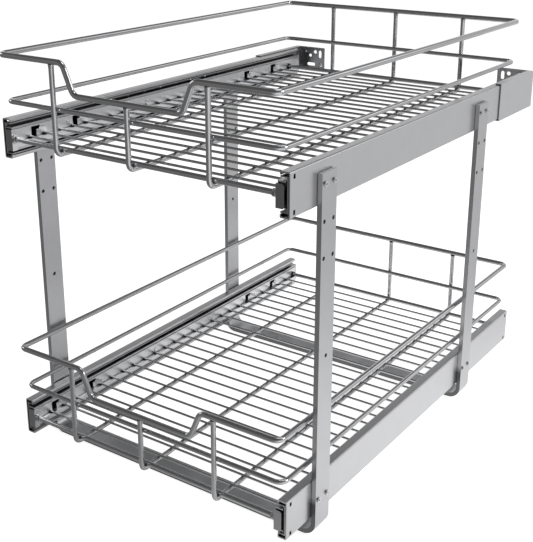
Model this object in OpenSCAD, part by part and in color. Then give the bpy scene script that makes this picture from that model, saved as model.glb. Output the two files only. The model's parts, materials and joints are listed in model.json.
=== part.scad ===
// Two-tier pull-out cabinet basket: two U-shaped legs carry four ball-bearing slides,
// and each pair of slides carries one wire basket. Millimetres, +Z up, front at -Y.
// The origin is on the floor, in the middle of the outside width and depth.

/* [Frame] */
// Width over the outer faces of the legs
frame_w = 362; // [320:1:440]
// Height from the lower slides to the upper slides
tier_pitch = 322; // [250:1:420]
// Gap between the floor and the lower slides
floor_gap = 20; // [12:1:40]
// Width of a leg and of its floor bar
leg_w = 25; // [20:1:36]
// Depth of a leg, from its outer face to the slide
leg_depth = 5.2; // [4:0.1:10]
// Wall of the legs, and sheet thickness of the brackets
sheet_t = 1.2; // [0.8:0.1:1.5]
// Outer radius of the bend between a leg and its floor bar
leg_bend_r = 15; // [12:1:18]
// Height of the leg tops over the middle of the upper slides
leg_top_over = 10; // [8:1:20]
// Middle of the front legs, from the front end of the slides
front_leg_y = 56; // [20:1:120]
// Middle of the rear legs, from the rear end of the slides
rear_leg_inset = 145; // [125:1:180]
// Distance between the two holes of a pair
hole_pair = 15.5; // [12:0.5:16]
// Distance from one pair of spare holes to the next
hole_pitch = 35; // [25:1:45]
// Pairs of spare holes below the upper slides
spare_pairs = 2; // [0:1:3]
// Height of the single hole over the middle of the lower slides
single_hole_rise = 153; // [90:1:180]
// Diameter of the mounting holes in the legs
hole_d = 4.2; // [3.6:0.1:5]
// Diameter of the screw heads on the legs
screw_head_d = 5; // [4.6:0.1:7]
// Height of the screw heads on the legs
screw_head_h = 1.6; // [0.8:0.1:2.5]

/* [Slides] */
// Length of a closed slide
slide_len = 540; // [430:1:680]
// Height of a slide
slide_h = 42; // [40:0.5:52]
// Thickness of a closed slide
slide_t = 12.7; // [12.7:0.1:16]
// Basket travel, half from each pair of rails
travel = 500; // [300:10:520]
// Sheet thickness of the outer rail
rail_t = 1.2; // [1:0.1:1.5]
// Thickness of the ball races of the outer rail
race_t = 1.5; // [1.2:0.1:2]
// Sheet thickness of the middle rail
mid_t = 1.4; // [1.2:0.1:1.6]
// Sheet thickness of the inner rail
inner_t = 1.2; // [1:0.1:1.5]
// Diameter of the balls
ball_d = 3.4; // [2.8:0.1:3.8]
// Balls in each row of a cage
ball_n = 8; // [4:1:12]
// Length of a ball cage
cage_len = 232; // [150:1:236]

/* [Baskets] */
// Height of the top rim over the basket floor
basket_h = 90; // [60:1:140]
// Drop of the middle rim below the top rim
mid_rim_drop = 48; // [30:1:55]
// Reach of the upper basket's top rim past the inner face of a slide
upper_rim_overhang = 6.1; // [2:0.1:11]
// Reach of the lower basket's top rim past the inner face of a slide
lower_rim_overhang = 10.1; // [2:0.1:11]
// Reach of the top rims in front of the slides
rim_front = 8.8; // [4:0.1:30]
// Distance from the rear of the upper basket's top rim to the rear end of the slides
upper_rim_rear = 18; // [0:1:60]
// Distance from the rear of the lower basket's top rim to the rear end of the slides
lower_rim_rear = 1; // [0:1:60]
// Wire diameter of the top rims
rim_d = 5.9; // [4:0.1:7]
// Corner radius of the top rims
rim_corner_r = 8; // [6:1:40]
// Wire diameter of the middle rims
mid_rim_d = 5; // [3:0.1:5.5]
// Distance of the middle rim inside the top rim, at the sides
mid_rim_side_in = 0; // [0:0.1:3]
// Corner radius of the middle rims
mid_corner_r = 9; // [6:1:40]
// Width of the dip in the front of the top rim, at its top
dip_w = 158; // [120:1:200]
// Width of the dip at its bottom
dip_floor_w = 132; // [90:1:150]
// Depth of the dip
dip_depth = 30.4; // [20:0.1:40]
// Bend radius at the four corners of the dip
dip_r = 9; // [5:0.5:12]
// Wire diameter of the uprights and of the lengthwise wires
long_wire_d = 5.4; // [3.5:0.1:6]
// Distance from one lengthwise wire to the next
long_pitch = 94.3; // [70:0.1:110]
// Bend radius at the foot of an upright
upright_r = 7; // [5.5:0.5:12]
// Distance of the uprights behind the middle of the top rim
upright_in = 0.6; // [0:0.1:2]
// Wire diameter of the two thick crosswise wires
cross_wire_d = 5.4; // [3.5:0.1:6]
// Wire diameter of the thin floor wires
floor_wire_d = 2.7; // [2:0.1:3.4]
// Number of thin floor wires of the upper basket
upper_floor_wire_n = 24; // [18:1:32]
// Number of thin floor wires of the lower basket
lower_floor_wire_n = 25; // [18:1:32]

/* [Side brackets] */
// Height of the basket floor below the middle of the slides
floor_drop = 2.5; // [0:0.1:5]
// Height of the bracket web over the middle of the slides
web_top = 9.8; // [8:0.1:11]
// Depth of the bracket web below the middle of the slides
web_drop = 9.6; // [6.5:0.1:11]
// Width of the ledge that carries the floor wires
ledge_w = 4; // [3:0.5:16]
// Length of a window in the bracket web
window_len = 12; // [6:0.5:12]
// Length of the flap that is bent inward behind each window
flap_len = 8; // [5:0.5:9]
// Angle of the flaps to the web
flap_angle = 35; // [20:1:60]
// Rivets that hold one bracket to its inner rail
rivet_n = 4; // [3:1:5]
// Distance of the end rivets from the ends of the slide
rivet_inset = 78; // [77:1:80]
// Diameter of the rivet heads
rivet_head_d = 6; // [4:0.5:8]

/* [Rear brackets] */
// Length of slide that a rear bracket wraps
sleeve_wrap = 88; // [60:1:95]
// Distance from the rear end of the slide to the rear face of the bracket
bracket_reach = 16.6; // [16.6:0.1:60]
// Depth of the bracket lips over the slide
sleeve_lip = 6; // [3:0.5:9]
// Width of the rear flange, from the outer face of the slide
flange_w = 45.8; // [44:0.1:60]
// Height of the rear flange
flange_h = 31.4; // [31:0.1:36]
// Width of the slots in the rear flange
slot_w = 4.5; // [3.5:0.1:5]

/* [Hidden] */
$fn = 48;

// Gap between two welded wires, so that their round faces do not run into each other
weld_gap = 0.05;
// Gap between the end of a floor wire and the bracket web
wire_end_gap = 1;
// How far a straight wire runs into a bend, and how much wider the bend is all round
bend_overlap = 0.2;
bend_swell = 0.01;
// Running clearance of a ball in its race
ball_clear = 0.1;
// Depth of a ball race
race_depth = 0.35;
// Clearance of the rear bracket around the slide
sleeve_clear = 0.2;
// Clearance between the slide and the end plate of a side bracket
plate_clear = 0.3;

steel = [0.70, 0.71, 0.72];
bright = [0.80, 0.81, 0.82];
dark_steel = [0.52, 0.53, 0.54];
chrome = [0.74, 0.75, 0.76];
ball_colour = [0.88, 0.88, 0.90];
rubber = [0.12, 0.12, 0.13];

// Places along the depth
overall_depth = rim_front + slide_len + bracket_reach;
front_y = -overall_depth / 2;
slide_y = front_y + rim_front;
slide_end = slide_y + slide_len;
front_leg = slide_y + front_leg_y;
rear_leg = slide_end - rear_leg_inset;

// Places across the width
leg_x = frame_w / 2;
slide_x = leg_x - leg_depth;
inner_x = slide_x - slide_t;
web_x = inner_x - sheet_t;
wire_end_x = web_x - wire_end_gap;

// Heights
lower_z = floor_gap + slide_h / 2;
upper_z = lower_z + tier_pitch;
leg_top = upper_z + leg_top_over;

// Slide section: u runs inward from the outer face, w up from the middle
outer_half = slide_h / 2;
race_gap = ball_d + 2 * ball_clear - 2 * race_depth;
mid_half = outer_half - race_t - race_gap;
inner_half = mid_half - mid_t - race_gap;
outer_ball_w = mid_half + race_gap / 2;
inner_ball_w = inner_half + race_gap / 2;
ball_u = slide_t / 2;
cage_t = 0.4;
cage_slot = 0.8;
mid_u = rail_t + cage_slot;
inner_u = mid_u + mid_t + 1;
lip_u = slide_t - 2.2;
lip_tip = 2;
// Outer corners of the outer rail, at its web and at its lips
rail_corner_r = 2;
lip_corner_r = 1.2;
mid_front_gap = 0.5;
stop_len = 5;
stop_end_gap = 1;
stop_half = mid_half - 2;
mid_len = slide_len - mid_front_gap - stop_len - stop_end_gap - plate_clear;
// Small windows near the ends of the outer rail: length, height, distance from the end and from the middle
rail_window_len = 3.2;
rail_window_h = 4.2;
rail_window_inset = 6.7;
rail_window_w = 16;
cage_flange = lip_u - rail_t - 0.3;
cage_y = slide_y + travel / 4 + 14;
screw_shank_d = 3.2;
shank_clear = 0.2;
// Cross recess in the screw heads
recess_w = 0.8;
recess_len = 2.4;
recess_depth = 0.8;

// Basket wires; a list holds the value of the upper basket, then that of the lower one
slide_z = [upper_z, lower_z];
rim_x = [for (reach = [upper_rim_overhang, lower_rim_overhang]) inner_x + reach - rim_d / 2];
rim_y = front_y + rim_d / 2;
rim_end = [for (inset = [upper_rim_rear, lower_rim_rear]) slide_end - inset - rim_d / 2];
upright_y = rim_y + upright_in;
upright_end = [for (y = rim_end) y - upright_in];
cross_y = upright_y + upright_r;
cross_end = [for (y = upright_end) y - upright_r];
floor_wire_n = [upper_floor_wire_n, lower_floor_wire_n];
mid_rim_in = (long_wire_d + mid_rim_d) / 2 + weld_gap;

// Side bracket, and its ledge with a hook at each end
ledge_bottom = -floor_drop - weld_gap - sheet_t;
hook_r = cross_wire_d / 2 + weld_gap;
hook_w = 4;
// Front edges of the windows: two from the front end of the slide, two from its rear end
window_places = [
  slide_y + 25, slide_y + 85,
  slide_end - 136, slide_end - 74
];
window_bottom = 0.1 - floor_drop;
window_top = web_top - 1.3;
window_step = 4;
flap_h = 5.5;
flap_clear = 0.5;
// Outer edge of the plate across the mouth of the slide, and the cut at its two outer corners
plate_u = 5.3;
plate_corner = 1.6;
// Length of the deeper web beside the plate
plate_web_len = 7;
// Distance from the rear end of the slide to the end of the web
web_end_gap = 4;
rivet_w = 3;
rivet_shank_d = 3.2;
rivet_head_h = 1;
rivet_tail_h = 0.6;

// Rear bracket, with its slots, holes and fasteners placed in the flange as (u, w)
sleeve_half = outer_half + sleeve_clear + sheet_t;
bracket_end = slide_end + bracket_reach;
upright_slot = [38.5, 13];
upright_slot_len = 10.5;
level_slot = [23.8, -2];
level_slot_len = 13;
upper_hole = [30.5, 15.8];
upper_hole_d = 5;
lower_hole = [22.3, 10.5];
lower_hole_d = 4.5;
eyelet = [15.8, 16];
eyelet_d = 6;
eyelet_h = 1;
eyelet_bore_d = 1.8;
flange_screw = [39.3, -2];
flange_screw_d = 6.5;
flange_screw_h = 1.6;

LEFT = 0;
RIGHT = 1;
UPPER = 0;
LOWER = 1;

// ---- Helpers ----

function unit(v) = v / norm(v);
// Direction of the straight that leaves point i of a closed path
function leaving(p, i) = unit(p[(i + 1) % len(p)] - p[i]);
// Turn at point i, in degrees
function turn(p, i) = acos(leaving(p, (i + len(p) - 1) % len(p)) * leaving(p, i));
// Length that the bend at point i takes from each straight beside it
function setback(p, r, i) = r[i] == 0 ? 0 : r[i] * tan(turn(p, i) / 2);

// Round bar from point a to point b
module rod(a, b, d) {
  v = b - a;
  translate(a)
    rotate([0, acos(v[2] / norm(v)), atan2(v[1], v[0])])
      cylinder(d = d, h = norm(v));
}

// Bend of radius r where a wire that runs along din turns to dout
module bend(corner, din, dout, r, d) {
  angle = acos(din * dout);
  inward = unit(dout - (dout * din) * din);
  x = -inward;
  y = din;
  z = cross(x, y);
  centre = corner - r * tan(angle / 2) * din + r * inward;
  multmatrix([
    [x[0], y[0], z[0], centre[0]],
    [x[1], y[1], z[1], centre[1]],
    [x[2], y[2], z[2], centre[2]]
  ])
    rotate_extrude(angle = angle)
      translate([r, 0])
        circle(d = d + 2 * bend_swell);
}

// Wire through the points p with a bend of radius r[i] at each; 0 is a free end
module wire(p, r, d) {
  n = len(p);
  for (i = [0 : n - 1]) {
    last = (i + n - 1) % n;
    next = (i + 1) % n;
    if (r[i] > 0)
      bend(p[i], leaving(p, last), leaving(p, i), r[i], d);
    if (r[i] > 0 || r[next] > 0) {
      start = setback(p, r, i) - (r[i] > 0 ? bend_overlap : 0);
      stop = setback(p, r, next) - (r[next] > 0 ? bend_overlap : 0);
      rod(p[i] + start * leaving(p, i), p[next] - stop * leaving(p, i), d);
    }
  }
}

// Moves a shape drawn in slide coordinates (u, y, w) to the slide on one side
module on_slide(side, z) {
  mirror([side, 0, 0])
    translate([-slide_x, 0, z])
      children();
}

// Draws a (u, w) section along the depth
module along_y(y, length) {
  translate([0, y + length, 0])
    rotate([90, 0, 0])
      linear_extrude(length)
        children();
}

// Draws a (y, w) section inward from u
module along_u(u, length) {
  translate([u, 0, 0])
    rotate([90, 0, 90])
      linear_extrude(length)
        children();
}

// C-shaped section of bent sheet from u to u + depth, which opens to larger u or to smaller u
module c_section(u, depth, half, web, flange, opens_inward = true) {
  difference() {
    translate([u, -half])
      square([depth, 2 * half]);
    translate([opens_inward ? u + web : u - 1, flange - half])
      square([depth - web + 1, 2 * (half - flange)]);
  }
}

// Copies a shape above and below the middle of the slide
module both_w() {
  children();
  mirror([0, 1])
    children();
}

// ---- Frame ----

// Section of the flat tube of a leg: x runs inward from the outer face, y across the leg
module tube_section() {
  difference() {
    translate([0, -leg_w / 2])
      square([leg_depth, leg_w]);
    translate([sheet_t, sheet_t - leg_w / 2])
      square([leg_depth - 2 * sheet_t, leg_w - 2 * sheet_t]);
  }
}

// Hole through both walls of a leg
module leg_hole(z, y) {
  translate([-1, y, z])
    rotate([0, 90, 0])
      cylinder(d = hole_d, h = leg_depth + 2);
}

// One leg, with its outer face at x = 0 and its bend to the floor bar
module leg() {
  difference() {
    union() {
      translate([0, 0, leg_bend_r])
        linear_extrude(leg_top - leg_bend_r)
          tube_section();
      translate([0, -leg_w / 2, leg_top - sheet_t])
        cube([leg_depth, leg_w, sheet_t]);
    }
    for (y = [-hole_pair / 2, hole_pair / 2]) {
      leg_hole(lower_z, y);
      for (i = [0 : spare_pairs])
        leg_hole(upper_z - i * hole_pitch, y);
    }
    leg_hole(lower_z + single_hole_rise, 0);
  }
  translate([leg_bend_r, 0, leg_bend_r])
    rotate([90, 0, 0])
      rotate([0, 0, 180])
        rotate_extrude(angle = 90)
          translate([leg_bend_r, 0])
            mirror([1, 0])
              tube_section();
}

module u_frame(y) {
  color(steel)
    translate([0, y, 0]) {
      for (side = [LEFT, RIGHT])
        mirror([side, 0, 0])
          translate([-leg_x, 0, 0])
            leg();
      translate([leg_bend_r - leg_x, 0, 0])
        rotate([0, -90, 180])
          linear_extrude(frame_w - 2 * leg_bend_r)
            tube_section();
    }
}

// Screw from the outside of a leg into the slide, along +u
module leg_screw() {
  difference() {
    translate([-leg_depth - screw_head_h, 0, 0])
      rotate([0, 90, 0])
        cylinder(d = screw_head_d, h = screw_head_h);
    for (a = [0, 90])
      rotate([a, 0, 0])
        translate([-leg_depth - screw_head_h - 1, -recess_w / 2, -recess_len / 2])
          cube([1 + recess_depth, recess_w, recess_len]);
  }
  translate([-leg_depth, 0, 0])
    rotate([0, 90, 0])
      cylinder(d = screw_shank_d, h = leg_depth + rail_t);
}

module frame_screws(y) {
  color(bright)
    for (side = [LEFT, RIGHT], z = [lower_z, upper_z], dy = [-hole_pair / 2, hole_pair / 2])
      on_slide(side, z)
        translate([0, y + dy, 0])
          leg_screw();
}

// ---- Slides ----

// Waste outside a round corner of radius r, with the square corner at the origin and the piece below it
// on the right
module corner_waste(r) {
  difference() {
    translate([-1, -r])
      square(r + 1);
    translate([r, -r])
      circle(r = r);
  }
}

module outer_section() {
  difference() {
    translate([0, -outer_half])
      square([lip_u, slide_h]);
    translate([rail_t, race_t - outer_half])
      square([lip_u - 2 * rail_t, slide_h - 2 * race_t]);
    translate([rail_t, race_t + lip_tip - outer_half])
      square([lip_u, slide_h - 2 * (race_t + lip_tip)]);
    both_w() {
      translate([ball_u, outer_ball_w])
        circle(d = ball_d + 2 * ball_clear);
      translate([0, outer_half])
        corner_waste(rail_corner_r);
      translate([lip_u, outer_half])
        mirror([1, 0])
          corner_waste(lip_corner_r);
    }
  }
}

module outer_rail(side, z) {
  color(bright)
    on_slide(side, z)
      difference() {
        along_y(slide_y, slide_len)
          outer_section();
        for (y = [front_leg, rear_leg], dy = [-hole_pair / 2, hole_pair / 2])
          translate([-1, y + dy, 0])
            rotate([0, 90, 0])
              cylinder(d = screw_shank_d + shank_clear, h = rail_t + 2);
        for (y = [slide_y + rail_window_inset, slide_end - rail_window_inset],
             w = [-rail_window_w, rail_window_w])
          translate([-1, y - rail_window_len / 2, w - rail_window_h / 2])
            cube([rail_t + 2, rail_window_len, rail_window_h]);
      }
}

module middle_section() {
  difference() {
    c_section(mid_u, lip_u - mid_u, mid_half, mid_t, mid_t);
    both_w() {
      translate([ball_u, outer_ball_w])
        circle(d = ball_d + 2 * ball_clear);
      translate([ball_u, inner_ball_w])
        circle(d = ball_d + 2 * ball_clear);
    }
  }
}

module middle_rail(side, z) {
  color(bright)
    on_slide(side, z)
      along_y(slide_y + mid_front_gap, mid_len)
        middle_section();
}

module inner_section() {
  difference() {
    c_section(inner_u, slide_t - inner_u, inner_half, inner_t, inner_t, false);
    both_w()
      translate([ball_u, inner_ball_w])
        circle(d = ball_d + 2 * ball_clear);
  }
}

// Windows and rivet holes that the inner rail and the side bracket share
module shared_holes() {
  for (y = window_places)
    window(y);
  for (y = rivet_places)
    translate([slide_t - inner_t - 1, y, rivet_w])
      rotate([0, 90, 0])
        cylinder(d = rivet_shank_d + shank_clear, h = inner_t + sheet_t + 2);
}

module inner_rail(side, z) {
  color(bright)
    on_slide(side, z)
      difference() {
        along_y(slide_y, slide_len)
          inner_section();
        shared_holes();
      }
}

// Row of balls or ball holes at height w, above and below
function ball_places() = [for (i = [0 : ball_n - 1]) cage_y + (i + 0.5) * cage_len / ball_n];

module cage(u, w) {
  difference() {
    along_y(cage_y, cage_len)
      c_section(u, cage_flange - u, w + cage_t / 2, cage_t, cage_t);
    for (y = ball_places())
      translate([ball_u, y, -w - 2])
        cylinder(d = ball_d + 0.4, h = 2 * w + 4);
  }
}

module balls(side, z, w) {
  color(ball_colour)
    on_slide(side, z)
      for (y = ball_places(), end = [-w, w])
        translate([ball_u, y, end])
          sphere(d = ball_d);
}

module outer_cage(side, z) {
  color(dark_steel)
    on_slide(side, z)
      cage(rail_t + (cage_slot - cage_t) / 2, outer_ball_w);
}

module inner_cage(side, z) {
  color(dark_steel)
    on_slide(side, z)
      cage(mid_u + mid_t + 0.3, inner_ball_w);
}

// Rubber stop at the rear end of each outer rail
module rail_stops(z) {
  color(rubber)
    for (side = [LEFT, RIGHT])
      on_slide(side, z)
        translate([rail_t, slide_end - stop_len - stop_end_gap, -stop_half])
          cube([inner_u - rail_t - plate_clear, stop_len, 2 * stop_half]);
}

// ---- Side brackets ----

rivet_places = [
  for (i = [0 : rivet_n - 1])
    slide_y + rivet_inset + i * (slide_len - 2 * rivet_inset) / (rivet_n - 1)
];

// L-shaped window, full length above and shorter below, with its front edge at y
module window(y) {
  along_u(slide_t - inner_t - 1, inner_t + sheet_t + 2) {
    translate([y, window_top - window_step])
      square([window_len, window_step]);
    translate([y, window_bottom])
      square([0.6 * window_len, window_top - window_bottom]);
  }
}

// Flap bent inward from the rear edge of the window at y, just above the floor wires
module flap(y) {
  translate([slide_t, y + window_len, floor_wire_d - floor_drop + flap_clear])
    rotate([0, 0, -flap_angle])
      cube([sheet_t, flap_len, flap_h]);
}

// Hook beside the web at the front or rear end of the ledge, curled up round a thick crosswise wire
module ledge_hook(y, dir) {
  along_u(slide_t + sheet_t, hook_w)
    translate([y, cross_wire_d / 2 - floor_drop])
      intersection() {
        difference() {
          circle(r = hook_r + sheet_t);
          circle(r = hook_r);
        }
        translate([dir > 0 ? 0 : -hook_r - sheet_t - 1, -hook_r - sheet_t - 1])
          square([hook_r + sheet_t + 1, 2 * (hook_r + sheet_t + 1)]);
      }
}

// Plate across the mouth of the slide, in (u, w)
module front_plate() {
  polygon([
    [slide_t + sheet_t, -inner_half], [slide_t + sheet_t, web_top],
    [plate_u + plate_corner, web_top], [plate_u, web_top - plate_corner],
    [plate_u, plate_corner - inner_half], [plate_u + plate_corner, -inner_half]
  ]);
}

// Web on the inner rail, with the front plate and the flaps
module side_bracket(side, z) {
  plate_y = slide_y - plate_clear - sheet_t;
  color(steel)
    on_slide(side, z) {
      difference() {
        union() {
          translate([slide_t, plate_y, -web_drop])
            cube([sheet_t, slide_end - web_end_gap - plate_y, web_top + web_drop]);
          along_y(plate_y, sheet_t)
            front_plate();
          translate([slide_t, plate_y, -inner_half])
            cube([sheet_t, plate_web_len, inner_half]);
        }
        shared_holes();
      }
      for (y = window_places)
        flap(y);
    }
}

// Strip along the web that carries the wires of a basket
module wire_ledge(side, tier) {
  color(steel)
    on_slide(side, slide_z[tier]) {
      translate([slide_t + sheet_t, cross_y, ledge_bottom])
        cube([ledge_w, cross_end[tier] - cross_y, sheet_t]);
      ledge_hook(cross_y, -1);
      ledge_hook(cross_end[tier], 1);
    }
}

module bracket_rivets(z) {
  color(bright)
    for (side = [LEFT, RIGHT], y = rivet_places)
      on_slide(side, z)
        translate([slide_t - inner_t - rivet_tail_h, y, rivet_w])
          rotate([0, 90, 0]) {
            cylinder(d = rivet_head_d - 1, h = rivet_tail_h);
            cylinder(d = rivet_shank_d, h = inner_t + sheet_t + rivet_tail_h);
            translate([0, 0, inner_t + sheet_t + rivet_tail_h])
              cylinder(d1 = rivet_head_d, d2 = rivet_head_d - 2, h = rivet_head_h);
          }
}

// ---- Baskets ----

function floor_height(tier) = slide_z[tier] - floor_drop;
function rim_height(tier) = floor_height(tier) + basket_h;

module top_rim(tier) {
  x = rim_x[tier];
  back = rim_end[tier];
  h = rim_height(tier);
  low = h - dip_depth;
  color(chrome)
    wire(
      [
        [-x, back, h], [-x, rim_y, h],
        [-dip_w / 2, rim_y, h], [-dip_floor_w / 2, rim_y, low],
        [dip_floor_w / 2, rim_y, low], [dip_w / 2, rim_y, h],
        [x, rim_y, h], [x, back, h]
      ],
      [
        rim_corner_r, rim_corner_r, dip_r, dip_r,
        dip_r, dip_r, rim_corner_r, rim_corner_r
      ],
      rim_d
    );
}

module middle_rim(tier) {
  x = rim_x[tier] - mid_rim_side_in;
  front = upright_y + mid_rim_in;
  back = upright_end[tier] - mid_rim_in;
  h = rim_height(tier) - mid_rim_drop;
  color(chrome)
    wire(
      [[-x, back, h], [-x, front, h], [x, front, h], [x, back, h]],
      [mid_corner_r, mid_corner_r, mid_corner_r, mid_corner_r],
      mid_rim_d
    );
}

// Lengthwise wires under the floor, bent up to the top rim at both ends
module long_wires(tier) {
  back = upright_end[tier];
  h = floor_height(tier) - weld_gap - long_wire_d / 2;
  rear_top = rim_height(tier) - rim_d / 2 - weld_gap;
  color(chrome)
    for (x = [-long_pitch, 0, long_pitch]) {
      front_top = rear_top - (x == 0 ? dip_depth : 0);
      wire(
        [[x, upright_y, front_top], [x, upright_y, h], [x, back, h], [x, back, rear_top]],
        [0, upright_r, upright_r, 0],
        long_wire_d
      );
    }
}

module cross_wires(tier) {
  h = floor_height(tier) + cross_wire_d / 2;
  color(chrome)
    for (y = [cross_y, cross_end[tier]])
      rod([-wire_end_x, y, h], [wire_end_x, y, h], cross_wire_d);
}

module floor_wires(tier) {
  n = floor_wire_n[tier];
  pitch = (cross_end[tier] - cross_y) / (n + 1);
  h = floor_height(tier) + floor_wire_d / 2;
  color(chrome)
    for (i = [1 : n])
      rod([-wire_end_x, cross_y + i * pitch, h], [wire_end_x, cross_y + i * pitch, h], floor_wire_d);
}

// ---- Rear brackets ----

// Slot through the rear flange; tilt 90 stands it upright
module flange_slot(place, length, tilt) {
  translate([place[0], bracket_end + 1, place[1]])
    rotate([90, tilt, 0]) {
      for (end = [-1, 1])
        translate([end * (length - slot_w) / 2, 0, 0])
          cylinder(d = slot_w, h = sheet_t + 2);
      translate([-(length - slot_w) / 2, -slot_w / 2, 0])
        cube([length - slot_w, slot_w, sheet_t + 2]);
    }
}

module flange_hole(place, d) {
  translate([place[0], bracket_end + 1, place[1]])
    rotate([90, 0, 0])
      cylinder(d = d, h = sheet_t + 2);
}

module rear_bracket(side) {
  out = sleeve_clear + sheet_t;
  color(steel)
    on_slide(side, upper_z)
      difference() {
        union() {
          along_y(slide_end - sleeve_wrap, sleeve_wrap + bracket_reach)
            c_section(-out, sleeve_lip + out, sleeve_half, sheet_t, sheet_t);
          translate([-out, bracket_end - sheet_t, sleeve_half - flange_h])
            cube([flange_w + out, sheet_t, flange_h]);
        }
        flange_slot(upright_slot, upright_slot_len, 90);
        flange_slot(level_slot, level_slot_len, 0);
        flange_hole(upper_hole, upper_hole_d);
        flange_hole(lower_hole, lower_hole_d);
        flange_hole(eyelet, screw_shank_d + shank_clear);
        flange_hole(flange_screw, screw_shank_d + shank_clear);
      }
}

// Eyelet and screw in the rear flange
module bracket_fasteners(side) {
  color(bright)
    on_slide(side, upper_z) {
      translate([eyelet[0], bracket_end, eyelet[1]])
        rotate([90, 0, 0])
          difference() {
            union() {
              cylinder(d = screw_shank_d, h = sheet_t);
              translate([0, 0, sheet_t])
                cylinder(d = eyelet_d, h = eyelet_h);
            }
            translate([0, 0, -1])
              cylinder(d = eyelet_bore_d, h = sheet_t + eyelet_h + 2);
          }
      translate([flange_screw[0], bracket_end, flange_screw[1]])
        rotate([90, 0, 0]) {
          cylinder(d = screw_shank_d, h = sheet_t);
          translate([0, 0, sheet_t])
            cylinder(d1 = flange_screw_d, d2 = 0.6 * flange_screw_d, h = flange_screw_h);
        }
    }
}

u_frame(front_leg);  // front_u_frame
u_frame(rear_leg);  // rear_u_frame
frame_screws(front_leg);  // front_frame_screws
frame_screws(rear_leg);  // rear_frame_screws
outer_rail(LEFT, upper_z);  // upper_left_outer_rail
outer_rail(RIGHT, upper_z);  // upper_right_outer_rail
outer_rail(LEFT, lower_z);  // lower_left_outer_rail
outer_rail(RIGHT, lower_z);  // lower_right_outer_rail
rail_stops(upper_z);  // upper_rail_stops
rail_stops(lower_z);  // lower_rail_stops
middle_rail(LEFT, upper_z);  // upper_left_middle_rail
middle_rail(RIGHT, upper_z);  // upper_right_middle_rail
middle_rail(LEFT, lower_z);  // lower_left_middle_rail
middle_rail(RIGHT, lower_z);  // lower_right_middle_rail
outer_cage(LEFT, upper_z);  // upper_left_outer_cage
outer_cage(RIGHT, upper_z);  // upper_right_outer_cage
outer_cage(LEFT, lower_z);  // lower_left_outer_cage
outer_cage(RIGHT, lower_z);  // lower_right_outer_cage
balls(LEFT, upper_z, outer_ball_w);  // upper_left_outer_balls
balls(RIGHT, upper_z, outer_ball_w);  // upper_right_outer_balls
balls(LEFT, lower_z, outer_ball_w);  // lower_left_outer_balls
balls(RIGHT, lower_z, outer_ball_w);  // lower_right_outer_balls
inner_cage(LEFT, upper_z);  // upper_left_inner_cage
inner_cage(RIGHT, upper_z);  // upper_right_inner_cage
inner_cage(LEFT, lower_z);  // lower_left_inner_cage
inner_cage(RIGHT, lower_z);  // lower_right_inner_cage
balls(LEFT, upper_z, inner_ball_w);  // upper_left_inner_balls
balls(RIGHT, upper_z, inner_ball_w);  // upper_right_inner_balls
balls(LEFT, lower_z, inner_ball_w);  // lower_left_inner_balls
balls(RIGHT, lower_z, inner_ball_w);  // lower_right_inner_balls
inner_rail(LEFT, upper_z);  // upper_left_inner_rail
inner_rail(RIGHT, upper_z);  // upper_right_inner_rail
inner_rail(LEFT, lower_z);  // lower_left_inner_rail
inner_rail(RIGHT, lower_z);  // lower_right_inner_rail
side_bracket(LEFT, upper_z);  // upper_left_side_bracket
side_bracket(RIGHT, upper_z);  // upper_right_side_bracket
side_bracket(LEFT, lower_z);  // lower_left_side_bracket
side_bracket(RIGHT, lower_z);  // lower_right_side_bracket
wire_ledge(LEFT, UPPER);  // upper_left_wire_ledge
wire_ledge(RIGHT, UPPER);  // upper_right_wire_ledge
wire_ledge(LEFT, LOWER);  // lower_left_wire_ledge
wire_ledge(RIGHT, LOWER);  // lower_right_wire_ledge
bracket_rivets(upper_z);  // upper_bracket_rivets
bracket_rivets(lower_z);  // lower_bracket_rivets
top_rim(UPPER);  // upper_top_rim
top_rim(LOWER);  // lower_top_rim
middle_rim(UPPER);  // upper_middle_rim
middle_rim(LOWER);  // lower_middle_rim
long_wires(UPPER);  // upper_long_wires
long_wires(LOWER);  // lower_long_wires
cross_wires(UPPER);  // upper_cross_wires
cross_wires(LOWER);  // lower_cross_wires
floor_wires(UPPER);  // upper_floor_wires
floor_wires(LOWER);  // lower_floor_wires
rear_bracket(LEFT);  // left_rear_bracket
rear_bracket(RIGHT);  // right_rear_bracket
bracket_fasteners(LEFT);  // left_bracket_fasteners
bracket_fasteners(RIGHT);  // right_bracket_fasteners
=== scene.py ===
"""Looks of the two-tier pull-out cabinet basket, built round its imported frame.

Metres, +Z up, front at -Y.
"""

import json
import math

import bmesh
import bpy
from mathutils import Matrix, Vector

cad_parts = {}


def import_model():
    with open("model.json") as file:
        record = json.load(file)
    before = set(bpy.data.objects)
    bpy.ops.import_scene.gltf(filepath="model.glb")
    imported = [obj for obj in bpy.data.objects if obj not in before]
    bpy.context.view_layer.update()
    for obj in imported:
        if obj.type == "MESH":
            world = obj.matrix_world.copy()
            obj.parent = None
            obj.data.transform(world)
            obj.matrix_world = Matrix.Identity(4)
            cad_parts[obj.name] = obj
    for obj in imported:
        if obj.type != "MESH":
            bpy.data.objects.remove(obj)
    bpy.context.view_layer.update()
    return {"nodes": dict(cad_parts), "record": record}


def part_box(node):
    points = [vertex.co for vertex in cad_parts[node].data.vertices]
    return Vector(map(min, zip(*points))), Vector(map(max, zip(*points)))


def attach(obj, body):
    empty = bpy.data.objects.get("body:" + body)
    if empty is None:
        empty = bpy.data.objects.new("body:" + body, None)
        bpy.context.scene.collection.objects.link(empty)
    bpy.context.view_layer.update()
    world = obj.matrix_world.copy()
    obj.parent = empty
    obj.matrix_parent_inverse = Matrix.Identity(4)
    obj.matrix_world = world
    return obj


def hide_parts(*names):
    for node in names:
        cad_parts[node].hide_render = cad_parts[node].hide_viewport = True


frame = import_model()

MM = 0.001
TIERS = ("upper", "lower")

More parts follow.
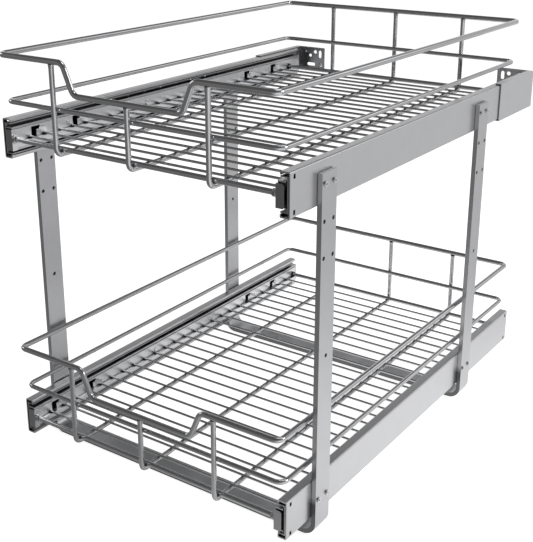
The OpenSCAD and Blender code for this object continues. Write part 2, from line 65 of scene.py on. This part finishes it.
# Faces that meet at more than this angle keep a sharp edge
SHARP_ANGLE = math.radians(35)

# Wire sizes
RIM_D = 5.9 * MM
MIDDLE_RIM_D = 5.0 * MM
LONG_D = 5.4 * MM
CROSS_D = 5.4 * MM
FLOOR_D = 2.7 * MM
# Bends of the wires
RIM_CORNER_R = 8 * MM
MIDDLE_CORNER_R = 9 * MM
DIP_R = 9 * MM
UPRIGHT_R = 7 * MM
# Dip in the front of a top rim: width at its top, at its bottom, and depth
DIP_TOP = 158 * MM
DIP_FLOOR = 132 * MM
DIP_DEPTH = 30.4 * MM
# Lengthwise wires of a basket, from the left, and the thin floor wires
LONG_X = (-94.3 * MM, 0.0, 94.3 * MM)
FLOOR_WIRES = {"upper": 24, "lower": 25}
# Free end of a wire, towards its tip: distance from the tip in radii, and share of the radius
ROUNDED_END = ((0.5, 1), (0.2, 0.93), (0.06, 0.8), (0, 0.62))
# Welded end of a wire, towards its tip: distance from the tip in radii, and share of the flare
FLARED_END = ((1.8, 0), (0.96, 0.25), (0.48, 0.6), (0, 1))
UPRIGHT_FLARE = 0.5 * MM
# Weld beads at the thin floor wires, at the thick crosswise wires and at the middle rim
FLOOR_BEAD = (3.0 * MM, 3.0 * MM, 1.5 * MM)
CROSS_BEAD = (4.4 * MM, 3.6 * MM, 1.8 * MM)
MIDDLE_BEAD = (4.2 * MM, 1.8 * MM, 3.4 * MM)

# The photograph's size in pixels and its camera
PHOTO_W = 533
PHOTO_H = 542
CAMERA_AT = (616.15 * MM, -950.22 * MM, 616.98 * MM)
CAMERA_AZIMUTH = 34.954
CAMERA_ELEVATION = 18.949
FOCAL_PX = 1007.48
# Pixel that the lens axis meets
AXIS_PX = (258.43, 222.31)
SENSOR_MM = 36.0

# Plating: scale per metre and detail of the mottle and of the rolling marks, and depth of the marks
MOTTLE_NOISE = (55, 4)
MARK_NOISE = (900, 3)
MARK_DEPTH = 0.02 * MM
# Share by which the marks change the roughness, up and down
ROUGHNESS_SPREAD = 0.08
# Share of the plate's level on edges brightened as wear and as a painted highlight, with the
# highest level, and on the painted shade of a foot near the floor
WEAR_AND_SHEEN_SHARE = 1.3
WEAR_AND_SHEEN_LIMIT = 0.9
FOOT_SHADE_SHARE = 0.42
# Level of the painted shade deep in gaps and behind lips
GAP_SHADE_LEVEL = 0.015
# Middle part of the values that a noise gives
NOISE_SPAN = (0.3, 0.7)
# Where masks start and end: turn of the normal at an edge, normal towards the front where shade is
# painted, open sky in a gap where shade is painted, and share of the height of a foot's painted
# shade
EDGE_SPAN = (0.99, 0.85)
AHEAD_SPAN = (-0.80, -0.95)
GAP_SHADE_SPAN = (0.78, 0.36)
SHADE_HEIGHT_SPAN = (1.0, 0.8)

# Glow that only the camera sees in the floor, and the room's light on rough surfaces
FLOOR_GLOW = 0.78
ROOM_LIGHT = 0.35
FLOOR_SIZE = 30
# Way from the front left of the room to its right rear, along which the mirrored light rises
STUDIO_WAY = (0.75, 0.65, 0)
# Levels that metal mirrors in the floor and in the room, at both ends of that way, and where the
# rise starts and ends. Spans are metres on the floor and parts of a unit vector in the room
FLOOR_MIRRORED = (0.35, 1.22)
FLOOR_SPAN = (-0.3, 0.1)
ROOM_MIRRORED = (0.35, 0.76)
ROOM_SPAN = (0.0, 0.8)
# How much of the floor's level is left away from the object
FAR_FLOOR_MIRRORED = 0.66
FAR_FLOOR_SPAN = (0.2, 0.7)
# Bright patch of floor at the front right, which the upright wires mirror
PATCH_MIRRORED = 0.4
PATCH_LEFT_EDGE = (0.25, 0.5)
PATCH_REAR_EDGE = (-0.15, 0.0)
# How much of the room's level is left high up
OVERHEAD_MIRRORED = 0.5
OVERHEAD_SPAN = (0.25, 0.5)
# Extra light that metal mirrors low behind the object, where the white wall meets the floor
HORIZON_MIRRORED = 0.65
HORIZON_WAY = (-0.57, 0.82, 0)
HORIZON_SPAN = (0.5, 0.9)
HORIZON_HEIGHTS = (0.22, 0.6)
# Small bright lamp at the right rear, which the wires along the sides mirror
SPOT_MIRRORED = 1.4
SPOT_WAY = (0.45, 0.80, 0.38)
SPOT_SPAN = (0.965, 0.99)
# Softboxes: name, place, size and watts, and the point that they aim at
SOFTBOXES = (
    ("right_softbox", (2.2, 0.7, 1.4), (0.9, 0.9), 22),
    ("top_softbox", (0.3, 0.5, 2.4), (1.0, 1.0), 9),
    ("left_fill", (-2.2, -0.6, 1.2), (0.8, 0.8), 5),
)
SOFTBOX_TARGET = (0, 0, 0.2)


# ---- Mesh helpers ----

def new_object(name, bm):
    """Object that holds the finished bmesh, shaded smooth up to sharp edges."""
    mesh = bpy.data.meshes.new(name)
    bm.to_mesh(mesh)
    bm.free()
    mesh.shade_smooth()
    mesh.set_sharp_from_angle(angle=SHARP_ANGLE)
    obj = bpy.data.objects.new(name, mesh)
    bpy.context.scene.collection.objects.link(obj)
    return obj


def arc(corner, before, after, radius, steps):
    """Points of the bend of that radius at corner, between the points before and after it."""
    way_in = (corner - before).normalized()
    way_out = (after - corner).normalized()
    angle = way_in.angle(way_out)
    inward = (way_out - way_out.dot(way_in) * way_in).normalized()
    centre = corner - radius * math.tan(angle / 2) * way_in + radius * inward
    turns = [angle * i / steps for i in range(steps + 1)]
    return [centre - radius * math.cos(t) * inward + radius * math.sin(t) * way_in for t in turns]


def wire_path(corners, radii, steps=10):
    """Centre line through corners, with a bend of radii[i] at corner i. A radius of 0 is a free
    end."""
    path = []
    count = len(corners)
    for i, (corner, radius) in enumerate(zip(corners, radii)):
        if radius == 0:
            path.append(corner)
        else:
            path += arc(corner, corners[i - 1], corners[(i + 1) % count], radius, steps)
    return path


def add_tube(bm, path, radius, closed=False, sides=20, flare=(0, 0)):
    """Round wire along path. A free end is rounded off; flare widens the first and the last end
    into a weld."""
    count = len(path)
    stations = []
    for i, point in enumerate(path):
        if closed:
            along = path[(i + 1) % count] - path[i - 1]
        else:
            along = path[min(i + 1, count - 1)] - path[max(i - 1, 0)]
        stations.append((point, along.normalized(), radius))
    if not closed:
        first = end_profile(stations[0], 1, flare[0])[::-1]
        last = end_profile(stations[-1], -1, flare[1])
        stations = first + stations[1:-1] + last
    side_way = stations[0][1].orthogonal().normalized()
    rings = []
    for point, along, r in stations:
        side_way = (side_way - side_way.dot(along) * along).normalized()
        up = along.cross(side_way)
        ring = []
        for k in range(sides):
            turn = 2 * math.pi * k / sides
            ring.append(bm.verts.new(point + r * (math.cos(turn) * side_way + math.sin(turn) * up)))
        rings.append(ring)
    links = list(zip(rings, rings[1:])) + ([(rings[-1], rings[0])] if closed else [])
    for a, b in links:
        for k in range(sides):
            n = (k + 1) % sides
            bm.faces.new((a[k], a[n], b[n], b[k]))
    if not closed:
        bm.faces.new(rings[0][::-1])
        bm.faces.new(rings[-1])


def end_profile(station, sign, flare):
    """Stations of an end, towards its tip: rounded off, or flared by that much into a weld."""
    point, along, radius = station
    inward = along * sign
    if flare:
        return [(point + inward * radius * back, along, radius + flare * share)
                for back, share in FLARED_END]
    return [(point + inward * radius * back, along, radius * share) for back, share in ROUNDED_END]


def add_bead(bm, centre, size):
    """Small smooth weld bead, an ellipsoid of that size."""
    place = Matrix.Translation(centre) @ Matrix.Diagonal((*size, 1))
    bmesh.ops.create_icosphere(bm, subdivisions=2, radius=0.5, matrix=place)


def piece(name, bm, body, material, slot, *replaced):
    """Makes the bmesh a piece that rides on body and stands for the CAD nodes named."""
    obj = new_object(name, bm)
    obj.data.materials.append(material)
    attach(obj, body)
    if replaced:
        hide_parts(*replaced)
    return obj


# ---- Materials ----

class Nodes:
    """Short way to build one material's node tree."""

    def __init__(self, name):
        self.material = bpy.data.materials.new(name)
        self.material.use_nodes = True
        self.tree = self.material.node_tree
        self.shader = self.tree.nodes["Principled BSDF"]
        self.output = self.tree.nodes["Material Output"]
        self.place = self.add("ShaderNodeTexCoord").outputs["Object"]

    def add(self, kind, **values):
        node = self.tree.nodes.new(kind)
        for key, value in values.items():
            setattr(node, key, value)
        return node

    def link(self, a, b):
        self.tree.links.new(a, b)

    def noise(self, scale, detail=3, stretch=(1, 1, 1)):
        """Noise of that scale per metre, stretched along the axes."""
        mapping = self.add("ShaderNodeMapping")
        mapping.inputs["Scale"].default_value = stretch
        self.link(self.place, mapping.inputs["Vector"])
        noise = self.add("ShaderNodeTexNoise")
        noise.inputs["Scale"].default_value = scale
        noise.inputs["Detail"].default_value = detail
        self.link(mapping.outputs["Vector"], noise.inputs["Vector"])
        return noise.outputs["Fac"]

    def ramp(self, value, low, high):
        """Colour that runs from low to high over the middle part of a noise."""
        ramp = self.add("ShaderNodeValToRGB")
        for element, place, colour in zip(ramp.color_ramp.elements, NOISE_SPAN, (low, high)):
            element.position = place
            element.color = (*colour, 1)
        self.link(value, ramp.inputs["Fac"])
        return ramp.outputs["Color"]

    def between(self, value, span, low=0.0, high=1.0):
        """Number that runs from low to high as value runs through span."""
        result = self.add("ShaderNodeMapRange")
        for key, number in zip(("From Min", "From Max", "To Min", "To Max"), (*span, low, high)):
            result.inputs[key].default_value = number
        self.link(value, result.inputs["Value"])
        return result.outputs["Result"]

    def part(self, vector, axis):
        """The X, Y or Z of a vector."""
        split = self.add("ShaderNodeSeparateXYZ")
        self.link(vector, split.inputs["Vector"])
        return split.outputs[axis]

    def edges(self, radius):
        """1 along cut and bent edges, 0 on the faces between them."""
        rounded = self.add("ShaderNodeBevel", samples=4)
        rounded.inputs["Radius"].default_value = radius
        true = self.add("ShaderNodeNewGeometry")
        match = self.add("ShaderNodeVectorMath", operation="DOT_PRODUCT")
        self.link(rounded.outputs["Normal"], match.inputs[0])
        self.link(true.outputs["Normal"], match.inputs[1])
        return self.between(match.outputs["Value"], EDGE_SPAN)

    def below(self, height):
        """1 well under that height, 0 above it."""
        span = [share * height for share in SHADE_HEIGHT_SPAN]
        return self.between(self.part(self.place, "Z"), span)

    def ahead(self):
        """1 on faces that look straight to the front, 0 on the others."""
        normal = self.add("ShaderNodeNewGeometry").outputs["Normal"]
        return self.between(self.part(normal, "Y"), AHEAD_SPAN)

    def both(self, a, b):
        """1 where both masks are 1."""
        product = self.add("ShaderNodeMath", operation="MULTIPLY")
        self.link(a, product.inputs[0])
        self.link(b, product.inputs[1])
        return product.outputs["Value"]

    def gaps(self, depth):
        """1 deep in gaps and behind lips, 0 on open faces: where shade is painted."""
        openness = self.add("ShaderNodeAmbientOcclusion", samples=8)
        openness.inputs["Distance"].default_value = depth
        return self.between(openness.outputs["AO"], GAP_SHADE_SPAN)

    def mix(self, share, a, b):
        """Colour a where share is 0 and the fixed colour b where it is 1."""
        mix = self.add("ShaderNodeMix", data_type="RGBA")
        self.link(share, mix.inputs[0])
        self.link(a, mix.inputs[6])
        mix.inputs[7].default_value = (*b, 1)
        return mix.outputs[2]

    def bump(self, value, strength, distance):
        bump = self.add("ShaderNodeBump")
        bump.inputs["Strength"].default_value = strength
        bump.inputs["Distance"].default_value = distance
        self.link(value, bump.inputs["Height"])
        self.link(bump.outputs["Normal"], self.shader.inputs["Normal"])


def grey(level):
    """Slightly cool grey of that level."""
    return (level, level * 1.005, level * 1.025)


def metal(name, level, roughness, grain=(1, 1, 1), mottle=0.02, bump=0.015,
          wear_and_sheen=0.0, gap_shade=0.0, foot_shade_height=0.0, front=1.0, front_top=0.0):
    """Plated steel: a soft mottle in the plate, fine rolling marks along the grain, edges of the
    width wear_and_sheen brightened as wear and as a painted highlight, painted shade in gaps of
    about the depth gap_shade, painted shade on a foot up to the height foot_shade_height, and faces
    towards the front darkened as painted shade by the factor front, only below front_top if it is
    given."""
    n = Nodes(name)
    n.shader.inputs["Metallic"].default_value = 1.0
    cloud = n.noise(*MOTTLE_NOISE)
    plate = n.ramp(cloud, grey(level * (1 - mottle)), grey(level * (1 + mottle)))
    # Painted shade: the foot near the floor is darkened
    if foot_shade_height:
        plate = n.mix(n.below(foot_shade_height), plate, grey(level * FOOT_SHADE_SHARE))
    # Painted shade: faces towards the front are darkened
    if front < 1:
        share = n.ahead()
        if front_top:
            share = n.both(share, n.below(front_top))
        plate = n.mix(share, plate, grey(level * front))
    # Edges are brightened, partly as wear and partly as a painted highlight
    if wear_and_sheen:
        plate = n.mix(n.edges(wear_and_sheen), plate, grey(min(level * WEAR_AND_SHEEN_SHARE, WEAR_AND_SHEEN_LIMIT)))
    # Painted shade: gaps and the space behind lips are darkened almost to black
    if gap_shade:
        plate = n.mix(n.gaps(gap_shade), plate, grey(GAP_SHADE_LEVEL))
    n.link(plate, n.shader.inputs["Base Color"])
    marks = n.noise(*MARK_NOISE, grain)
    smooth, rough = roughness * (1 - ROUGHNESS_SPREAD), roughness * (1 + ROUGHNESS_SPREAD)
    n.link(n.between(marks, NOISE_SPAN, smooth, rough), n.shader.inputs["Roughness"])
    n.bump(marks, bump, MARK_DEPTH)
    return n.material


def rubber_material():
    """Matt black rubber with a fine grain."""
    n = Nodes("black_rubber")
    grain = n.noise(2500, 2)
    n.link(n.ramp(grain, grey(0.012), grey(0.03)), n.shader.inputs["Base Color"])
    n.link(n.between(grain, NOISE_SPAN, 0.6, 0.8), n.shader.inputs["Roughness"])
    n.bump(grain, 0.2, 0.03 * MM)
    return n.material


# Grain of pieces that are rolled upright and of pieces that are rolled along the slides
UPRIGHT_GRAIN = (1, 1, 0.05)
BRACKET_GRAIN = (1, 0.05, 1)
RAIL_GRAIN = (1, 0.04, 1)

# Legs and floor bars: painted shade in gaps, on the foot by the floor and on low faces towards the
# front; edges brightened as wear and as a painted highlight
LEG = metal("satin_leg_steel", 0.50, 0.34, UPRIGHT_GRAIN,
            wear_and_sheen=0.3 * MM, gap_shade=1.2 * MM, foot_shade_height=5 * MM, front=0.22, front_top=45 * MM)
# Brackets: painted shade on faces towards the front and in gaps; edges brightened as wear and as a
# painted highlight
BRACKET = metal("bracket_steel", 0.70, 0.34, BRACKET_GRAIN,
                wear_and_sheen=0.15 * MM, gap_shade=3 * MM, front=0.42)
# Rear brackets: painted shade in gaps; edges brightened as wear and as a painted highlight
REAR_BRACKET = metal("rear_bracket_steel", 0.56, 0.34, BRACKET_GRAIN,
                     wear_and_sheen=0.15 * MM, gap_shade=3 * MM)
# Outer and inner rails: painted shade in gaps; edges brightened as wear and as a painted highlight
RAIL = metal("bright_rail_steel", 0.54, 0.30, RAIL_GRAIN,
             mottle=0.015, wear_and_sheen=0.15 * MM, gap_shade=4 * MM)
# Middle rails: a steel darker than the outer rails, with painted shade in their gaps
DARK_MIDDLE_RAIL = metal("dark_middle_rail_steel", 0.34, 0.34, RAIL_GRAIN, gap_shade=4 * MM)
CAGE = metal("ball_cage_steel", 0.06, 0.42, BRACKET_GRAIN, bump=0.08)
WIRE = metal("satin_chrome_wire", 0.47, 0.14)
WELD = metal("weld_metal", 0.24, 0.42, mottle=0.15, bump=0.3)
BALL = metal("polished_ball_steel", 0.8, 0.08, bump=0.0)
# Screws: painted shade in the recess; edges brightened as wear and as a painted highlight
SCREW = metal("zinc_screw_steel", 0.64, 0.28,
              mottle=0.05, bump=0.05, wear_and_sheen=0.2 * MM, gap_shade=0.6 * MM)
RUBBER = rubber_material()

MATERIALS = {
    "wire": WIRE, "leg_steel": LEG, "bracket_steel": BRACKET, "rail_steel": RAIL,
    "cage_steel": CAGE, "ball_steel": BALL, "rubber": RUBBER, "fastener": SCREW,
}
# Materials of single nodes, by the end of a node's name
SPECIAL_MATERIALS = {"middle_rail": DARK_MIDDLE_RAIL, "rear_bracket": REAR_BRACKET}


# ---- CAD nodes that stay: softened sheet edges and better materials ----

# Rounding of the edges, by the end of a node's name
EDGE_WIDTHS = {
    "u_frame": 0.9 * MM, "outer_rail": 0.25 * MM, "inner_rail": 0.2 * MM, "middle_rail": 0.2 * MM,
    "side_bracket": 0.25 * MM, "wire_ledge": 0.25 * MM, "rear_bracket": 0.25 * MM,
}


def soften(obj, width):
    """Rounds the cut edges of a sheet-metal node without changing its mesh."""
    weld = obj.modifiers.new("weld", "WELD")
    weld.merge_threshold = 1e-6
    flat = obj.modifiers.new("flat", "DECIMATE")
    flat.decimate_type = "DISSOLVE"
    flat.angle_limit = math.radians(0.5)
    edge = obj.modifiers.new("edge", "BEVEL")
    edge.width = width
    edge.segments = 2
    edge.limit_method = "ANGLE"
    edge.angle_limit = math.radians(40)
    edge.harden_normals = True
    even = obj.modifiers.new("even", "WEIGHTED_NORMAL")
    even.mode = "FACE_AREA"
    even.weight = 100
    even.keep_sharp = True


def dress_nodes():
    """Gives every CAD node its material, and the sheet-metal ones rounded edges."""
    slots = {entry["node"]: entry["material_slot"] for entry in frame["record"]["subparts"]}
    for name, obj in frame["nodes"].items():
        material = MATERIALS[slots[name]]
        for ending, special in SPECIAL_MATERIALS.items():
            if name.endswith(ending):
                material = special
        obj.data.materials.clear()
        obj.data.materials.append(material)
        obj.data.shade_smooth()
        obj.data.set_sharp_from_angle(angle=SHARP_ANGLE)
        for ending, width in EDGE_WIDTHS.items():
            if name.endswith(ending):
                soften(obj, width)


# ---- Baskets ----

def centre_line_box(node, diameter):
    """Lowest and highest corner of a wire node's centre line."""
    low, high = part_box(node)
    half = Vector((diameter, diameter, diameter)) / 2
    return low + half, high - half


def top_rim(tier):
    low, high = centre_line_box(f"{tier}_top_rim", RIM_D)
    top, dip = high.z, high.z - DIP_DEPTH
    corners = [
        Vector((low.x, high.y, top)), Vector((low.x, low.y, top)),
        Vector((-DIP_TOP / 2, low.y, top)), Vector((-DIP_FLOOR / 2, low.y, dip)),
        Vector((DIP_FLOOR / 2, low.y, dip)), Vector((DIP_TOP / 2, low.y, top)),
        Vector((high.x, low.y, top)), Vector((high.x, high.y, top)),
    ]
    radii = [RIM_CORNER_R] * 2 + [DIP_R] * 4 + [RIM_CORNER_R] * 2
    bm = bmesh.new()
    add_tube(bm, wire_path(corners, radii), RIM_D / 2, closed=True, sides=28)
    piece(f"{tier}_top_rim_wire", bm, f"{tier}_basket", WIRE, "wire", f"{tier}_top_rim")


def middle_rim(tier):
    low, high = centre_line_box(f"{tier}_middle_rim", MIDDLE_RIM_D)
    z = high.z
    corners = [
        Vector((low.x, high.y, z)), Vector((low.x, low.y, z)),
        Vector((high.x, low.y, z)), Vector((high.x, high.y, z)),
    ]
    bm = bmesh.new()
    path = wire_path(corners, [MIDDLE_CORNER_R] * 4)
    add_tube(bm, path, MIDDLE_RIM_D / 2, closed=True, sides=24)
    piece(f"{tier}_middle_rim_wire", bm, f"{tier}_basket", WIRE, "wire", f"{tier}_middle_rim")


def long_wires(tier):
    low, high = centre_line_box(f"{tier}_long_wires", LONG_D)
    top = high.z + LONG_D / 2
    bm = bmesh.new()
    for x in LONG_X:
        front_top = top - (DIP_DEPTH if x == 0 else 0)
        corners = [
            Vector((x, low.y, front_top)), Vector((x, low.y, low.z)),
            Vector((x, high.y, low.z)), Vector((x, high.y, top)),
        ]
        path = wire_path(corners, [0, UPRIGHT_R, UPRIGHT_R, 0])
        add_tube(bm, path, LONG_D / 2, sides=24, flare=(UPRIGHT_FLARE, UPRIGHT_FLARE))
    piece(f"{tier}_lengthwise_wires", bm, f"{tier}_basket", WIRE, "wire", f"{tier}_long_wires")


def floor_places(tier):
    """Depths of the thin floor wires, from the front."""
    low, high = centre_line_box(f"{tier}_floor_wires", FLOOR_D)
    pitch = (high.y - low.y) / (FLOOR_WIRES[tier] - 1)
    return [low.y + i * pitch for i in range(FLOOR_WIRES[tier])]


def straight_wires(tier, node, diameter, places, name):
    """Wires from side to side at those depths, in place of that node."""
    low, high = centre_line_box(f"{tier}_{node}", diameter)
    end = high.x + diameter / 2
    bm = bmesh.new()
    for y in places:
        add_tube(bm, [Vector((-end, y, low.z)), Vector((end, y, low.z))], diameter / 2, sides=20)
    piece(f"{tier}_{name}", bm, f"{tier}_basket", WIRE, "wire", f"{tier}_{node}")


def welds(tier):
    """Beads where the wires are welded to each other."""
    bm = bmesh.new()
    cross_low, cross_high = centre_line_box(f"{tier}_cross_wires", CROSS_D)
    middle_low, middle_high = centre_line_box(f"{tier}_middle_rim", MIDDLE_RIM_D)
    contact = cross_low.z - CROSS_D / 2
    for x in LONG_X:
        for y in floor_places(tier):
            add_bead(bm, (x, y, contact), FLOOR_BEAD)
        for y in (cross_low.y, cross_high.y):
            add_bead(bm, (x, y, contact), CROSS_BEAD)
        for y, out in ((middle_low.y, -1), (middle_high.y, 1)):
            side = y + out * MIDDLE_RIM_D / 2
            add_bead(bm, (x, side, middle_low.z), MIDDLE_BEAD)
    piece(f"{tier}_welds", bm, f"{tier}_basket", WELD, "wire")


def basket(tier):
    cross_low, cross_high = centre_line_box(f"{tier}_cross_wires", CROSS_D)
    top_rim(tier)
    middle_rim(tier)
    long_wires(tier)
    straight_wires(tier, "cross_wires", CROSS_D, (cross_low.y, cross_high.y), "crosswise_wires")
    straight_wires(tier, "floor_wires", FLOOR_D, floor_places(tier), "thin_floor_wires")
    welds(tier)


# ---- Camera, floor and light ----

def camera():
    """The photograph's camera."""
    data = bpy.data.cameras.new("camera")
    data.sensor_fit = "HORIZONTAL"
    data.sensor_width = SENSOR_MM
    data.lens = SENSOR_MM * FOCAL_PX / PHOTO_W
    data.shift_x = (PHOTO_W / 2 - AXIS_PX[0]) / PHOTO_W
    data.shift_y = (AXIS_PX[1] - PHOTO_H / 2) / PHOTO_W
    data.clip_start = 0.01
    data.clip_end = 50
    obj = bpy.data.objects.new("camera", data)
    obj.location = CAMERA_AT
    obj.rotation_euler = (math.radians(90 - CAMERA_ELEVATION), 0, math.radians(CAMERA_AZIMUTH))
    bpy.context.scene.collection.objects.link(obj)
    bpy.context.scene.camera = obj


def flag(tree, name):
    """1 for rays of that kind, otherwise 0."""
    return tree.nodes.new("ShaderNodeLightPath").outputs[name]


def math_node(tree, operation, a, b):
    """Result of that operation on two numbers or outputs."""
    node = tree.nodes.new("ShaderNodeMath")
    node.operation = operation
    for socket, value in zip(node.inputs, (a, b)):
        if isinstance(value, (int, float)):
            socket.default_value = value
        else:
            tree.links.new(value, socket)
    return node.outputs[0]


def smooth_step(tree, value, span, low, high):
    """Level that runs smoothly from low to high as value runs through span."""
    level = tree.nodes.new("ShaderNodeMapRange")
    level.interpolation_type = "SMOOTHSTEP"
    for key, number in zip(("From Min", "From Max", "To Min", "To Max"), (*span, low, high)):
        level.inputs[key].default_value = number
    tree.links.new(value, level.inputs["Value"])
    return level.outputs["Result"]


def reach(tree, place, way):
    """How far place lies along way."""
    product = tree.nodes.new("ShaderNodeVectorMath")
    product.operation = "DOT_PRODUCT"
    product.inputs[1].default_value = way
    tree.links.new(place, product.inputs[0])
    return product.outputs["Value"]


def floor_mirrored(n):
    """Level that metal mirrors in the floor: it rises to the right rear, falls away from the object
    and has a bright patch at the front right."""
    distance = n.add("ShaderNodeVectorMath", operation="LENGTH")
    n.link(n.place, distance.inputs[0])
    near = smooth_step(n.tree, distance.outputs["Value"], FAR_FLOOR_SPAN, 1, FAR_FLOOR_MIRRORED)
    rise = smooth_step(n.tree, reach(n.tree, n.place, STUDIO_WAY), FLOOR_SPAN, *FLOOR_MIRRORED)
    right = smooth_step(n.tree, n.part(n.place, "X"), PATCH_LEFT_EDGE, 0, PATCH_MIRRORED)
    front = smooth_step(n.tree, n.part(n.place, "Y"), PATCH_REAR_EDGE, 1, 0)
    side = math_node(n.tree, "MULTIPLY", rise, near)
    patch = math_node(n.tree, "MULTIPLY", right, front)
    return math_node(n.tree, "ADD", side, patch)


def floor():
    """Plain pale floor. Rays from metal meet the mirrored level instead of its lit surface."""
    bm = bmesh.new()
    bmesh.ops.create_grid(bm, x_segments=1, y_segments=1, size=FLOOR_SIZE / 2)
    obj = new_object("floor", bm)
    n = Nodes("pale_floor")
    n.shader.inputs["Base Color"].default_value = (0.8, 0.8, 0.8, 1)
    n.shader.inputs["Roughness"].default_value = 0.9
    n.shader.inputs["Specular IOR Level"].default_value = 0.0
    glow = n.add("ShaderNodeEmission")
    seen = math_node(n.tree, "MULTIPLY", flag(n.tree, "Is Camera Ray"), FLOOR_GLOW)
    n.link(seen, glow.inputs["Strength"])
    lit = n.add("ShaderNodeAddShader")
    n.link(n.shader.outputs["BSDF"], lit.inputs[0])
    n.link(glow.outputs["Emission"], lit.inputs[1])
    mirrored = n.add("ShaderNodeEmission")
    n.link(floor_mirrored(n), mirrored.inputs["Strength"])
    surface = n.add("ShaderNodeMixShader")
    n.link(flag(n.tree, "Is Glossy Ray"), surface.inputs["Fac"])
    n.link(lit.outputs["Shader"], surface.inputs[1])
    n.link(mirrored.outputs["Emission"], surface.inputs[2])
    n.link(surface.outputs["Shader"], n.output.inputs["Surface"])
    obj.data.materials.append(n.material)


def room_mirrored(tree):
    """Level that metal mirrors in the room: it rises to the right rear, falls towards the ceiling,
    and has a light wall low behind the object and a small lamp."""
    way = tree.nodes.new("ShaderNodeTexCoord").outputs["Generated"]
    height = reach(tree, way, (0, 0, 1))
    rise = smooth_step(tree, reach(tree, way, STUDIO_WAY), ROOM_SPAN, *ROOM_MIRRORED)
    overhead = smooth_step(tree, height, OVERHEAD_SPAN, 1, OVERHEAD_MIRRORED)
    side = math_node(tree, "MULTIPLY", rise, overhead)
    low = smooth_step(tree, height, HORIZON_HEIGHTS, HORIZON_MIRRORED, 0)
    behind = smooth_step(tree, reach(tree, way, HORIZON_WAY), HORIZON_SPAN, 0, 1)
    horizon = math_node(tree, "MULTIPLY", low, behind)
    spot = smooth_step(tree, reach(tree, way, SPOT_WAY), SPOT_SPAN, 0, SPOT_MIRRORED)
    return math_node(tree, "ADD", side, math_node(tree, "ADD", horizon, spot))


def world():
    """White behind the object, soft light on rough surfaces, and the room's level in metal."""
    made = bpy.data.worlds.new("studio")
    made.use_nodes = True
    bpy.context.scene.world = made
    tree = made.node_tree
    tree.nodes.clear()
    mirrored = math_node(tree, "MULTIPLY", flag(tree, "Is Glossy Ray"), room_mirrored(tree))
    around = math_node(tree, "MULTIPLY", flag(tree, "Is Diffuse Ray"), ROOM_LIGHT)
    unseen = math_node(tree, "ADD", mirrored, around)
    light = tree.nodes.new("ShaderNodeBackground")
    level = math_node(tree, "ADD", flag(tree, "Is Camera Ray"), unseen)
    tree.links.new(level, light.inputs["Strength"])
    output = tree.nodes.new("ShaderNodeOutputWorld")
    tree.links.new(light.outputs["Background"], output.inputs["Surface"])


def softbox(name, at, size, watts):
    """Rectangular lamp at that place, aimed at the object."""
    data = bpy.data.lights.new(name, "AREA")
    data.shape = "RECTANGLE"
    data.size, data.size_y = size
    data.energy = watts
    obj = bpy.data.objects.new(name, data)
    obj.location = at
    way = Vector(SOFTBOX_TARGET) - Vector(at)
    obj.rotation_euler = way.to_track_quat("-Z", "Y").to_euler()
    bpy.context.scene.collection.objects.link(obj)


camera()
dress_nodes()
for tier_name in TIERS:
    basket(tier_name)
floor()
world()
for lamp in SOFTBOXES:
    softbox(*lamp)
bpy.context.scene.view_settings.view_transform = "Standard"
